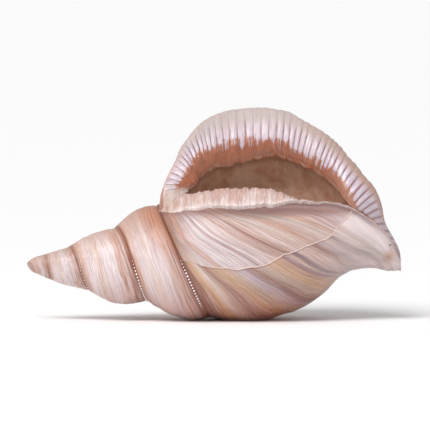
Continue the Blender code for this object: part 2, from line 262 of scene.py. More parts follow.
def mouth_side(edge, inner, share):
    """Points of a side's edge and of its inner line, at shares of the edge's length."""
    first = np.concatenate((CORNER, THROAT_CORNER))
    last = np.concatenate((TIP, THROAT_TIP))
    both = flowing_curve(np.vstack((first, np.hstack((edge, inner)), last)), share)
    return both[:, :3], both[:, 3:]


def round_section(knots, values, angle):
    """Smooth radius at an angle through a section's knots. The first axis runs over the knots."""
    gaps = np.diff(knots, axis=0)
    rise = np.diff(values, axis=0) / gaps
    slope = np.empty_like(values)
    slope[0] = rise[0]
    slope[-1] = rise[-1]
    slope[1:-1] = (rise[:-1] * gaps[1:] + rise[1:] * gaps[:-1]) / (gaps[1:] + gaps[:-1])
    radius = np.array(values[0])
    for i in range(len(gaps)):
        s = clamp((angle - knots[i]) / gaps[i])
        piece = cubic(values[i], values[i + 1], slope[i], slope[i + 1], gaps[i], s)
        radius = np.where(angle >= knots[i], piece, radius)
    return radius


def growth_share(station, angle):
    """Which growth line of the body a point lies on, from 0 at the suture to 1 at the canal tip."""
    late = np.clip(angle, LINE_ANGLES[0], LINE_ANGLES[-1])
    first = suture_station(SUTURE_ANGLES[-1] - TURN + np.clip(angle - CORNER_ANGLE, 0.0, TURN))
    lines = [first] + [smooth_curve(LINE_ANGLES, line, late) for line in GROWTH_LINES]
    share = np.zeros_like(station)
    for i in range(len(GROWTH_LINES)):
        low = lines[i]
        high = np.maximum(lines[i + 1], low + 0.5)
        inside = clamp((station - low) / (high - low))
        share = np.where(station > low, (i + inside) / len(GROWTH_LINES), share)
    return share


def deselect():
    bpy.ops.object.select_all(action="DESELECT")


def in_scene(points):
    """Points along the axis, in mm, as places in metres."""
    return (points + np.array((-0.5 * SHELL_LENGTH, AXIS_Y, 0.0))) * MM


def patch(name, points, growth, seam, material):
    """A grid shaped to points of rows and columns. growth and seam hold the maps' values at each
    face's corners, as rows, columns, corner and U or V."""
    rows, columns = points.shape[0] - 1, points.shape[1] - 1
    deselect()
    bpy.ops.mesh.primitive_grid_add(x_subdivisions=columns, y_subdivisions=rows, size=1.0, calc_uvs=False)
    grid = bpy.context.object
    grid.name = name
    grid.data.vertices.foreach_set("co", in_scene(points).reshape(-1).astype(np.float32))
    for title, values in (("growth", growth), ("seam", seam)):
        layer = grid.data.uv_layers.new(name=title)
        layer.data.foreach_set("uv", values.reshape(-1).astype(np.float32))
    grid.data.materials.append(material)
    grid.data.update()
    return grid


def corners(values):
    """Values at the points of a grid, as values at its faces' corners."""
    return np.stack((values[:-1, :-1], values[:-1, 1:], values[1:, 1:], values[1:, :-1]), axis=2)


def face_maps(u, v):
    return np.stack((corners(u), corners(v)), axis=-1)


def eased(rows, ease):
    """Shares from 0 to 1 that stand closer at both ends."""
    x = np.linspace(0.0, 1.0, rows + 1)
    return (1.0 - ease) * x + ease * 0.5 * (1.0 - np.cos(np.pi * x))


def spire_patches(settings, material):
    """The whorls above the body, each from one turn of the suture to the next."""
    columns = settings.columns
    angles = SUTURE_START + TURN * np.linspace(0.0, 1.0, columns + 1)
    across = eased(settings.whorl_rows, 0.6)[:, None]
    made = []
    for turn in range(SUTURE_TURNS):
        late = (angles + TURN * turn)[None, :] + 0.0 * across
        early = late - TURN
        low = np.where(early < SUTURE_START, 0.0, suture_station(early))
        high = suture_station(late)
        inner = np.where(early < SUTURE_START, 0.0, suture_radius(early))
        outer = suture_radius(late)
        width = high - low
        bulge = clamp(np.sin(np.pi * across)) ** WHORL_ROUNDNESS
        relief = whorl_relief(late, across + 0.0 * late, width, settings)
        swell = smooth_curve(SWELL_ANGLES, SWELLS, late) * width * bulge
        radius = inner + (outer - inner) * across + swell + relief
        station = low + width * across
        radius += APEX_BLUNTNESS * np.sqrt(station) * np.exp(-station / APEX_LENGTH)
        points = around_axis(station, late, radius)
        to_low = np.hypot(station - low, radius - inner)
        to_high = np.hypot(station - high, radius - outer)
        seam = face_maps(suture_length(early), to_low)
        half = settings.whorl_rows // 2
        seam[half:] = face_maps(suture_length(late), -to_high)[half:]
        made.append(patch("whorl", points, face_maps(late / TURN, across + 0.0 * late), seam, material))
    return made


def whorl_relief(angle, across, width, settings):
    """Growth folds along a whorl, none at its sutures."""
    edge = clamp(np.sin(np.pi * across)) ** 0.5
    folds = ripple(across * 9.0 + 0.6 * ripple(angle / 90.0, across * 2.0, 5), angle / 60.0, 11)
    fine = ripple(across * 22.0, angle / 35.0, 12)
    size = np.clip(width / 25.0, 0.0, 1.4)
    bumps = ripple(across * 5.0, angle / 24.0, 13)
    return edge * size * settings.fold_height / MM * (folds + 0.4 * fine + 1.5 * bumps - 1.2)


def body_share(settings):
    x = np.linspace(0.0, 1.0, settings.mouth_rows + 1)
    return 1.0 - (1.0 - x) ** 1.15


def body_patch(settings, material):
    """The body whorl, from the ledge round to the crest of the lip."""
    share = body_share(settings)
    front = mouth_side(LEDGE_FRONT, LEDGE_INNER, share)[0]
    wave = wavy_ledge(share)[0] - front
    crest = scalloped_crest(share, settings)[0]
    front_angle, front_radius = polar(front)
    crest_angle, crest_radius = polar(crest)
    crest_angle = np.where(crest_angle < 0.0, crest_angle + TURN, crest_angle)
    front_angle[-1] = front_angle[-2]
    crest_angle[-1] = crest_angle[-2]
    around = np.linspace(0.0, 1.0, settings.columns + 1)[None, :]
    v = share[:, None]
    spiral = SUTURE_ANGLES[-1] - TURN + TURN * around
    suture = suture_station(spiral)
    station = (front[:, :1] + (crest[:, :1] - front[:, :1]) * around
               + (suture - suture[0, 0]) * (1.0 - v) ** SUTURE_FADE)
    angle = front_angle[:, None] + (crest_angle - front_angle)[:, None] * around
    blank = np.zeros_like(station)
    knots = np.stack([front_angle[:, None] + blank, blank, blank + 90.0, blank + 180.0,
                      blank + FLARE_ANGLE, crest_angle[:, None] + blank])
    sides = [smooth_curve(BODY_STATIONS, side, station)
             for side in (FRONT_RADII, UNDER_RADII, BACK_RADII, FLARE_RADII)]
    radius = round_section(knots, np.stack([front_radius[:, None] + blank, *sides,
                                            crest_radius[:, None] + blank]), angle)
    rise = 1.0 - np.exp(-v / SHOULDER) * clamp(np.sin(math.pi * around)) ** 0.5
    radius = suture_radius(spiral) + (radius - suture_radius(spiral)) * rise
    radius[0] = suture_radius(spiral)[0]
    across = growth_share(station, angle)
    beside = clamp((angle - front_angle[:, None]) / 16.0)
    toward = clamp((station - 100.0) / 40.0)
    across = across + (1.0 - across) * toward * (1.0 - beside) ** 2
    across[0] = 0.0
    edge = clamp(v * 40.0) * clamp((1.0 - v) * 12.0)
    edge = edge * clamp(around * 14.0) * clamp((1.0 - around) * 14.0)
    folds = ripple(across * 30.0 + 0.5 * ripple(angle / 60.0, across * 6.0, 7), angle / 75.0, 21)
    fine = ripple(across * 80.0, angle / 40.0, 22)
    radius = radius + edge * settings.fold_height / MM * (folds + 0.3 * fine - 1.8)
    points = around_axis(station, angle, radius)
    points += wave[:, None, :] * np.exp(-60.0 * around)[:, :, None]
    points[-1] = TIP
    distance = np.hypot(station - suture, radius - suture_radius(spiral))
    growth = face_maps(spiral / TURN + blank, BODY_MARK + len(GROWTH_LINES) * across)
    return patch("body", points, growth, face_maps(suture_length(spiral) + blank, distance), material)


def wavy_ledge(share):
    """The ledge's front edge, waved a little, and its inner edge."""
    front, inner = mouth_side(LEDGE_FRONT, LEDGE_INNER, share)
    fade = clamp(share * 12.0) * clamp((0.75 - share) / 0.2)
    wave = 0.7 * wander(share, 26.0, 61) + 0.4 * wander(share, 75.0, 62)
    wave = (wave - 0.6 * np.exp(-((share - KNOB_SHARE) / 0.012) ** 2)) * fade
    bite = (0.5 * wander(share, 60.0, 63) + 0.4 * wander(share, 140.0, 64)) * fade
    front = front + np.array((0.0, 0.25, 0.9)) * wave[:, None]
    return front, inner + np.array((0.0, 0.2, 0.8)) * bite[:, None]


def scalloped_crest(share, settings):
    """The lip's crest, drawn in and out a little by the ribs that cross it, and the throat's edge."""
    crest, throat = mouth_side(CREST, THROAT, share)
    wave = rib_wave(share, settings) - 1.0
    fade = clamp(share * 25.0) * clamp((0.84 - share) / 0.08)
    sway = wander(share, 31.0, 31) - 1.0
    along = np.gradient(crest, axis=0)
    outward = np.stack((-along[:, 2], 0.3 * along[:, 0], along[:, 0]), axis=1)
    outward /= np.linalg.norm(outward, axis=1)[:, None]
    size = np.interp(share, (0.0, 0.35, 0.55, 1.0), (0.25, 0.25, 0.6, 0.6))
    crest = crest + outward * (((wave + sway) * size - 0.25) * fade)[:, None]
    edge = (wander(share, 45.0, 32) + 0.5 * wander(share, 110.0, 33)) * fade
    throat = throat + np.array((0.0, -0.2, 0.7)) * edge[:, None]
    return crest, throat


def rib_phase(share, settings):
    """Ribs counted along the lip, unevenly spaced."""
    return settings.lip_ribs * share + 0.35 * wander(share, 19.0, 41)


def rib_wave(share, settings):
    """Rounded ribs with narrow grooves between them, from 0 in a groove to 1 on a rib."""
    return np.abs(np.sin(np.pi * rib_phase(share, settings))) ** 0.55


def lip_patch(settings, material):
    """The rolled and ribbed lip between crest and throat."""
    share = body_share(settings)
    crest, throat = scalloped_crest(share, settings)
    w = eased(settings.lip_rings, 0.35)[None, :, None]
    ends = (np.sin(np.pi * share) ** 0.8)[:, None, None]
    roll = settings.lip_roll / MM * (4.0 * w * (1.0 - w)) ** 0.6
    fade = np.clip((0.9 - share) / 0.2, 0.1, 1.0)[:, None, None]
    peak = np.interp(share, (0.0, 0.25, 0.5, 0.75, 1.0), (0.3, 0.42, 0.58, 0.5, 0.4))[:, None, None]
    strength = np.exp(-((w - peak) / 0.22) ** 2) + 0.1 * clamp(w * 8.0) * (1.0 - w)
    size = 0.75 + 0.35 * wander(share, 37.0, 42)[:, None, None]
    ribs = (rib_wave(share, settings)[:, None, None] - 0.7) * strength * size
    ribs = ribs * clamp((0.86 - share) / 0.06)[:, None, None]
    lift = (roll * fade + settings.rib_height / MM * ribs) * ends
    smooth = mouth_side(CREST, THROAT, share)[0]
    points = (smooth[:, None, :] + (throat - smooth)[:, None, :] * w + MOUTH_NORMAL * lift
              + (crest - smooth)[:, None, :] * (1.0 - w) ** 5)
    u, v = np.meshgrid(share, w[0, :, 0], indexing="ij")
    return patch("lip", points, face_maps(u, v), face_maps(rib_phase(u, settings), v), material)


def ledge_patch(settings, material):
    """The ledge of the inner lip, with folds across it."""
    share = body_share(settings)
    front, inner = wavy_ledge(share)
    w = eased(settings.ledge_rings, 0.35)[None, :, None]
    ends = np.sin(np.pi * share)[:, None, None]
    roll = LEDGE_ROLL * clamp(np.sin(np.pi * clamp(w) ** 0.42)) ** 0.6
    folds = wander(share, 60.0, 51) + 0.5 * wander(share, 130.0, 52)
    folds = folds + 2.2 * np.exp(-((share - KNOB_SHARE) / 0.007) ** 2)
    folds = (folds * clamp((0.8 - share) / 0.1))[:, None, None]
    lift = (roll + 0.5 * folds * np.interp(w, (0.0, 0.12, 1.0), (0.0, 1.0, 0.5))) * ends ** 0.7
    points = front[:, None, :] + (inner - front)[:, None, :] * w + MOUTH_NORMAL * lift
    u, v = np.meshgrid(share, w[0, :, 0], indexing="ij")
    return patch("ledge", points, face_maps(u, v), face_maps(u, v), material), points[:, -1]


def hollow_patch(settings, edge, back, material):
    """One side of the hollow, from the throat down to its floor line."""
    share = body_share(settings)
    throat = mouth_side(CREST, THROAT, share)[1]
    inner = mouth_side(LEDGE_FRONT, LEDGE_INNER, share)[1]
    open_share = clamp(np.sin(np.pi * clamp(share / HOLLOW_END))) ** 0.7
    depth = (open_share + 0.04 * np.sin(np.pi * share))[:, None]
    floor = (throat + inner) * 0.5 + depth * HOLLOW_DEPTH * np.array((0.0, HOLLOW_SLANT, -1.0))
    top, bottom = HOLLOW_BACK if back else HOLLOW_FRONT
    first = edge + depth * np.array(top)
    second = floor + depth * np.array(bottom)
    s = np.linspace(0.0, 1.0, settings.hollow_rings + 1)[None, :, None]
    points = (edge[:, None, :] * (1 - s) ** 3 + first[:, None, :] * 3 * s * (1 - s) ** 2
              + second[:, None, :] * 3 * s * s * (1 - s) + floor[:, None, :] * s ** 3)
    u, v = np.meshgrid(share, s[0, :, 0], indexing="ij")
    return patch("hollow", points, face_maps(u, v), face_maps(u, v), material)


class Wiring:
    """Adds nodes to a node tree and joins them. Inputs are values or other nodes' outputs."""

    def __init__(self, tree):
        self.tree = tree

    def feed(self, socket, value):
        if isinstance(value, bpy.types.NodeSocket):
            self.tree.links.new(value, socket)
        else:
            socket.default_value = value

    def node(self, kind, inputs, **settings):
        made = self.tree.nodes.new(kind)
        for name, value in settings.items():
            setattr(made, name, value)
        for key, value in inputs.items():
            self.feed(made.inputs[key], value)
        return made

    def math(self, operation, *values, clamp=False):
        made = self.node("ShaderNodeMath", dict(enumerate(values)), operation=operation, use_clamp=clamp)
        return made.outputs[0]

    def mix(self, share, first, second, blend="MIX"):
        inputs = {0: share, 6: first, 7: second}
        return self.node("ShaderNodeMix", inputs, data_type="RGBA", blend_type=blend).outputs[2]

    def blend(self, share, first, second):
        return self.node("ShaderNodeMix", {0: share, 2: first, 3: second}, data_type="FLOAT").outputs[0]

    def step(self, value, low, high):
        """0 below low and 1 above high, smooth between; turned round where low is above high."""
        inputs = {0: value, 1: min(low, high), 2: max(low, high)}
        inputs.update({3: 0.0, 4: 1.0} if high > low else {3: 1.0, 4: 0.0})
        return self.node("ShaderNodeMapRange", inputs, interpolation_type="SMOOTHSTEP").outputs[0]

    def near(self, value, middle, reach):
        """1 at the middle and 0 beyond its reach."""
        return self.step(self.absolute(self.minus(value, middle)), reach, 0.0)

    def vector(self, x, y, z=0.0):
        return self.node("ShaderNodeCombineXYZ", {0: x, 1: y, 2: z}).outputs[0]

    def times(self, first, second):
        return self.math("MULTIPLY", first, second)

    def plus(self, first, second):
        return self.math("ADD", first, second)

    def minus(self, first, second):
        return self.math("SUBTRACT", first, second)

    def absolute(self, value):
        return self.math("ABSOLUTE", value)

    def total(self, *parts):
        """The sum of values, each times its weight."""
        made = self.times(*parts[0])
        for value, weight in parts[1:]:
            made = self.plus(made, self.times(value, weight))
        return made

    def tint(self, colour, mask, amount, other):
        """A colour moved towards another by an amount, where a mask is 1."""
        return self.mix(self.times(mask, amount), colour, other)

    def noise(self, vector, scale, detail=2.0, roughness=0.5):
        inputs = {"Vector": vector, "Scale": scale, "Detail": detail, "Roughness": roughness}
        return self.node("ShaderNodeTexNoise", inputs).outputs[0]

    def ramp(self, share, stops):
        """A colour by a share from 0 to 1, through stops of share and colour."""
        made = self.node("ShaderNodeValToRGB", {0: share})
        elements = made.color_ramp.elements
        for place, colour in stops[1:-1]:
            elements.new(place).color = colour
        for element, (place, colour) in ((elements[0], stops[0]), (elements[-1], stops[-1])):
            element.position = place
            element.color = colour
        return made.outputs[0]

    def curve(self, share, points):
        """A value by a share from 0 to 1, through points of share and value."""
        made = self.node("ShaderNodeFloatCurve", {"Value": share})
        curve = made.mapping.curves[0]
        for place, value in points[1:-1]:
            curve.points.new(place, value)
        for point, place in ((curve.points[0], points[0]), (curve.points[-1], points[-1])):
            point.location = place
        made.mapping.update()
        return made.outputs[0]

    def parts(self, vector):
        return tuple(self.node("ShaderNodeSeparateXYZ", {0: vector}).outputs)

    def uv(self, name):
        return self.parts(self.node("ShaderNodeUVMap", {}, uv_map=name).outputs[0])[:2]

    def place(self):
        """The point's place on the object, in millimetres."""
        inputs = {0: self.node("ShaderNodeTexCoord", {}).outputs["Object"], 1: (1.0 / MM,) * 3}
        return self.parts(self.node("ShaderNodeVectorMath", inputs, operation="MULTIPLY").outputs[0])

    def away(self, x, z, spot):
        """Distance in mm from a spot, given as X and height in the front view."""
        inputs = {0: self.vector(x, 0.0, z), 1: (spot[0], 0.0, spot[1])}
        return self.node("ShaderNodeVectorMath", inputs, operation="DISTANCE").outputs["Value"]


def new_group(name, inputs, outputs):
    """An empty node group with value inputs and outputs, and its wiring."""
    group = bpy.data.node_groups.new(name, "ShaderNodeTree")
    for title, default in inputs:
        socket = group.interface.new_socket(title, in_out="INPUT", socket_type="NodeSocketFloat")
        socket.default_value = default
    for title in outputs:
        group.interface.new_socket(title, in_out="OUTPUT", socket_type="NodeSocketFloat")
    wiring = Wiring(group)
    return group, wiring, wiring.node("NodeGroupInput", {}).outputs, wiring.node("NodeGroupOutput", {})


def streak_group():
    """Streaks that run along a map's U: wide bands, lines and hair lines, each from 0 to 1."""
    group, w, given, out = new_group("streaks", (("Along", 0.0), ("Across", 0.0), ("Seed", 0.0)),
                                     ("Wide", "Lines", "Hair", "Waver"))
    waver = w.noise(w.vector(w.times(given[0], 7.0), w.times(given[1], 3.0), given[2]), 1.0)
    across = w.plus(given[1], w.times(w.minus(waver, 0.5), 0.12))
    kinds = (("Wide", 2.5, 6.0, 2.0), ("Lines", 5.0, 26.0, 3.0), ("Hair", 9.0, 95.0, 3.0))
    for title, along, narrow, detail in kinds:
        vector = w.vector(w.times(given[0], along), w.times(across, narrow), given[2])
        w.feed(out.inputs[title], w.step(w.noise(vector, 1.0, detail, 0.6), 0.3, 0.7))
    w.feed(out.inputs["Waver"], w.minus(waver, 0.5))
    return group


def bead_group():
    """Dark dots and a groove along the suture, from the length along it and the distance from it."""
    inputs = (("Length", 0.0), ("Distance", 0.0), ("Pitch", 1.6), ("Offset", 0.9))
    group, w, given, out = new_group("beads", inputs, ("Bead", "Groove"))
    jitter = w.times(w.noise(w.vector(given[0], 0.0), 0.3), 1.2)
    cell = w.math("FRACT", w.math("DIVIDE", w.plus(given[0], jitter), given[2]))
    side = w.math("DIVIDE", w.minus(given[1], given[3]), given[2])
    reach = w.math("SQRT", w.plus(w.math("POWER", w.minus(cell, 0.5), 2.0), w.math("POWER", side, 2.0)))
    w.feed(out.inputs["Bead"], w.step(reach, 0.55, 0.28))
    w.feed(out.inputs["Groove"], w.step(w.absolute(side), 0.9, 0.35))
    return group


PEARL = rgb(240, 225, 228)
CREAM = rgb(232, 209, 197)
ROSE = rgb(220, 186, 175)
MAUVE = rgb(160, 126, 132)
SLATE = rgb(132, 104, 116)
LAVENDER = rgb(210, 188, 196)
BROWN = rgb(156, 102, 84)
RUST = rgb(150, 88, 64)
TAN = rgb(204, 156, 132)
OCHRE = rgb(218, 172, 128)
STONE = rgb(212, 186, 174)

# Colours across a whorl of the spire, from one suture to the next. The pearl in the middle is partly the
# shell's own colour and partly a painted highlight on the whorl's bulge.
WHORL_BANDS = (
    (0.0, RUST), (0.03, BROWN), (0.07, TAN), (0.12, ROSE), (0.22, PEARL), (0.4, CREAM), (0.5, PEARL),
    (0.68, PEARL), (0.76, ROSE), (0.82, TAN), (0.85, ROSE), (0.9, BROWN), (0.93, ROSE), (0.97, BROWN),
    (1.0, RUST)
)
# Colours of the body's smooth upper part, from the suture to the canal tip.
SHAWL_BANDS = (
    (0.0, RUST), (0.015, TAN), (0.05, ROSE), (0.1, CREAM), (0.16, PEARL), (0.19, TAN), (0.21, PEARL),
    (0.33, PEARL), (0.345, MAUVE), (0.37, PEARL), (0.47, ROSE), (0.525, BROWN), (0.55, ROSE), (0.64, CREAM),
    (0.7, TAN), (0.73, ROSE), (0.82, CREAM), (0.86, TAN), (0.9, MAUVE), (1.0, LAVENDER)
)
# Colours of the body's banded lower part, from the suture to the canal tip.
BODY_BANDS = (
    (0.0, RUST), (0.03, BROWN), (0.055, OCHRE), (0.08, CREAM), (0.117, BROWN), (0.14, TAN), (0.165, OCHRE),
    (0.22, STONE), (0.25, LAVENDER), (0.285, MAUVE), (0.31, BROWN), (0.355, STONE), (0.42, OCHRE),
    (0.465, TAN), (0.495, MAUVE), (0.52, ROSE), (0.552, SLATE), (0.58, ROSE), (0.64, ROSE), (0.69, BROWN),
    (0.73, LAVENDER), (0.77, ROSE), (0.812, SLATE), (0.84, CREAM), (0.885, CREAM), (0.9, TAN),
    (0.915, PEARL), (0.965, PEARL), (0.985, LAVENDER), (1.0, MAUVE)
)
def new_material(name, roughness, coat=0.0, coat_roughness=0.03):
    material = bpy.data.materials.new(name)
    material.use_nodes = True
    shader = material.node_tree.nodes["Principled BSDF"]
    finish = {"Roughness": roughness, "Coat Weight": coat, "Coat Roughness": coat_roughness}
    for title, value in finish.items():
        shader.inputs[title].default_value = value
    return material, Wiring(material.node_tree), shader


def grouped(wiring, group, **inputs):
    return wiring.node("ShaderNodeGroup", inputs, node_tree=group).outputs


def dress(w, shader, colour, height, distance):
    """Feed a shader its colour and its relief, a height in shares of a distance in metres."""
    w.feed(shader.inputs["Base Color"], colour)
    bump = w.node("ShaderNodeBump", {"Height": height, "Distance": distance, "Strength": 1.0})
    w.feed(shader.inputs["Normal"], bump.outputs[0])


def plain_material(name, colour, roughness):
    material, _, shader = new_material(name, roughness)
    shader.inputs["Base Color"].default_value = colour
    return material


def whorl_material(streaks, beads):
    """The striped, pearly outside of the spire and the body, with a painted highlight in the middle of the
    spire's whorls, painted shade low down and painted shadow under the ledge and the raised line.
    """
    material, w, shader = new_material("whorls", 0.38, 0.35, 0.25)
    turns, across = w.uv("growth")
    length, distance = w.uv("seam")
    x, y, z = w.place()
    on_body = w.math("GREATER_THAN", across, 0.5 * BODY_MARK)
    share = w.blend(on_body, across, w.times(w.minus(across, BODY_MARK), 1.0 / len(GROWTH_LINES)))
    wide, lines, hair, waver = grouped(w, streaks, Along=turns, Across=across, Seed=2.0)
    wavering = w.plus(share, w.times(waver, w.blend(on_body, 0.10, 0.02)))
    front = w.step(y, 4.0, -8.0)
    line_share = w.math("DIVIDE", w.minus(x, LINE_START), LINE_REACH, clamp=True)
    places = np.linspace(LINE_START, LINE_START + LINE_REACH, 80)
    line_points = list(zip((places - LINE_START) / LINE_REACH, line_height(places) / LINE_TOP))
    above = w.minus(z, w.times(w.curve(line_share, line_points), LINE_TOP))
    before_end = w.times(w.step(x, 75.0, 72.0), front)
    shawl = w.times(w.step(above, -0.6, 0.6), before_end)
    upper = w.ramp(wavering, SHAWL_BANDS)
    body = w.mix(shawl, w.ramp(wavering, BODY_BANDS), upper)
    colour = w.mix(on_body, w.ramp(wavering, WHORL_BANDS), body)
    canal = w.times(w.step(x, 68.0, 80.0), front)
    banded = w.times(on_body, w.minus(1.0, shawl))
    spire_busy = w.blend(w.step(share, 0.6, 0.85), 0.75, 1.4)
    busy = w.times(w.blend(canal, 1.0, 0.35), w.blend(banded, w.blend(on_body, spire_busy, 1.0), 0.6))
    for streak, low, high, amount, other in ((wide, 0.35, 0.9, 0.35, ROSE), (wide, 0.45, 0.1, 0.35, PEARL),
                                             (lines, 0.55, 0.95, 0.55, BROWN), (lines, 0.4, 0.1, 0.5, PEARL),
                                             (hair, 0.55, 0.9, 0.4, TAN), (hair, 0.4, 0.1, 0.3, PEARL)):
        colour = w.tint(colour, w.times(w.step(streak, low, high), busy), amount, other)
    on_top = w.times(w.minus(1.0, on_body), w.step(w.plus(z, w.times(x, -0.25)), 46.0, 72.0))
    colour = w.mix(on_top, colour, rgb(196, 154, 134))
    pale = w.times(w.step(x, 52.0, 76.0), w.times(on_body, front))
    colour = w.tint(colour, pale, 0.6, rgb(232, 212, 210))
    high = w.times(w.step(w.plus(z, w.times(x, 0.6)), 99.5, 103.0), w.near(x, 81.0, 9.0))
    colour = w.tint(colour, w.times(high, front), 0.6, rgb(172, 146, 162))
    # Painted shade: the colour is darker and warmer towards the floor, more so towards the canal end.
    low = w.times(w.step(z, 26.0, 0.0), w.blend(w.step(x, 0.0, 45.0), 0.5, 0.8))
    colour = w.mix(low, colour, rgb(200, 134, 106), "MULTIPLY")
    dot, groove = grouped(w, beads, Length=length, Distance=distance)
    grown = w.step(length, 90.0, 230.0)
    beside = w.step(w.times(w.absolute(distance), w.blend(grown, 2.5, 1.0)), 3.5, 0.4)
    colour = w.tint(colour, beside, 0.6, RUST)
    colour = w.mix(w.step(length, 40.0, 8.0), colour, rgb(222, 184, 172))
    ring = w.times(w.near(length, 44.0, 8.0), w.step(w.absolute(distance), 3.5, 1.0))
    colour = w.tint(colour, ring, 0.5, rgb(178, 116, 84))
    glow = w.times(w.step(w.absolute(distance), 17.0, 5.0), w.step(z, 32.0, 50.0))
    uneven = w.blend(w.step(lines, 0.75, 0.25), 0.45, 1.0)
    glow = w.times(glow, w.times(w.step(length, 180.0, 260.0), uneven))
    orange = w.mix(w.step(hair, 0.3, 0.7), rgb(202, 130, 94), rgb(168, 94, 64))
    colour = w.tint(colour, glow, 0.85, orange)
    lit = w.step(z, 39.0, 33.0)
    grown = w.times(grown, w.step(z, 8.0, 15.0))
    groove_colour = w.mix(lit, rgb(186, 124, 96), rgb(140, 88, 70))
    colour = w.tint(colour, groove, w.blend(grown, 0.2, 0.8), groove_colour)
    dark = w.times(w.blend(grown, 0.3, 0.95), w.minus(1.0, lit))
    colour = w.tint(colour, dot, dark, rgb(122, 72, 54))
    shade = w.times(w.near(above, -0.55, 0.6), before_end)
    shade = w.times(shade, w.times(on_body, w.step(x, -16.0, -6.0)))
    colour = w.tint(colour, shade, 0.5, rgb(140, 100, 90))
    # Painted shadow cast by the ledge on the body below it, partly the body's own brown-mauve there.
    shade_and_mauve_under_ledge = w.times(w.step(z, 55.0, 59.5), w.times(on_body, w.step(y, -14.0, -20.0)))
    colour = w.tint(colour, shade_and_mauve_under_ledge, 0.75, rgb(150, 106, 96))
    colour = w.tint(colour, w.step(w.away(x, z, STAIN), 5.0, 0.0), 0.65, rgb(206, 150, 108))
    pit = w.times(w.step(w.away(x, z, PIT), 0.75, 0.3), w.step(y, -9.0, -12.0))
    colour = w.tint(colour, pit, 0.8, rgb(92, 66, 58))
    relief = w.total((lines, -0.6), (hair, -0.25), (wide, -0.6), (pit, -1.0), (dot, w.blend(lit, -0.6, 0.0)),
                     (groove, w.blend(lit, -0.2, -1.1)), (shawl, 0.3))
    dress(w, shader, colour, relief, 0.0005)
    return material


# Where the lip's colours change: shares across the lip against shares along it.
TEETH_EDGE = (
    (0.0, 0.5), (0.1, 0.56), (0.22, 0.59), (0.29, 0.68), (0.39, 0.73), (0.48, 0.81), (0.63, 0.84),
    (0.72, 0.77), (0.78, 0.74), (0.84, 0.98), (1.0, 1.0)
)
CHALK_EDGE = (
    (0.0, 0.02), (0.1, 0.08), (0.22, 0.24), (0.3, 0.38), (0.47, 0.46), (0.6, 0.45), (0.7, 0.42),
    (0.77, 0.32), (0.84, 0.22), (1.0, 0.1)
)


def cream_stripes(w, streaks, x, across):
    """Cream with tan and mauve stripes that stand upright in the front view, and its wide and fine
    streaks."""
    wide, lines, hair, _ = grouped(w, streaks, Along=w.times(across, 0.3), Across=w.times(x, 0.036), Seed=9.0)
    colour = w.mix(w.step(wide, 0.3, 0.8), rgb(226, 204, 198), rgb(210, 176, 164))
    colour = w.tint(colour, w.step(lines, 0.5, 0.9), 0.55, rgb(190, 158, 160))
    colour = w.tint(colour, w.step(hair, 0.6, 0.95), 0.35, rgb(190, 146, 124))
    left = w.times(w.step(x, -14.0, -22.0), w.step(lines, 0.35, 0.75))
    return w.mix(w.times(left, 0.6), colour, rgb(178, 130, 104)), wide, lines


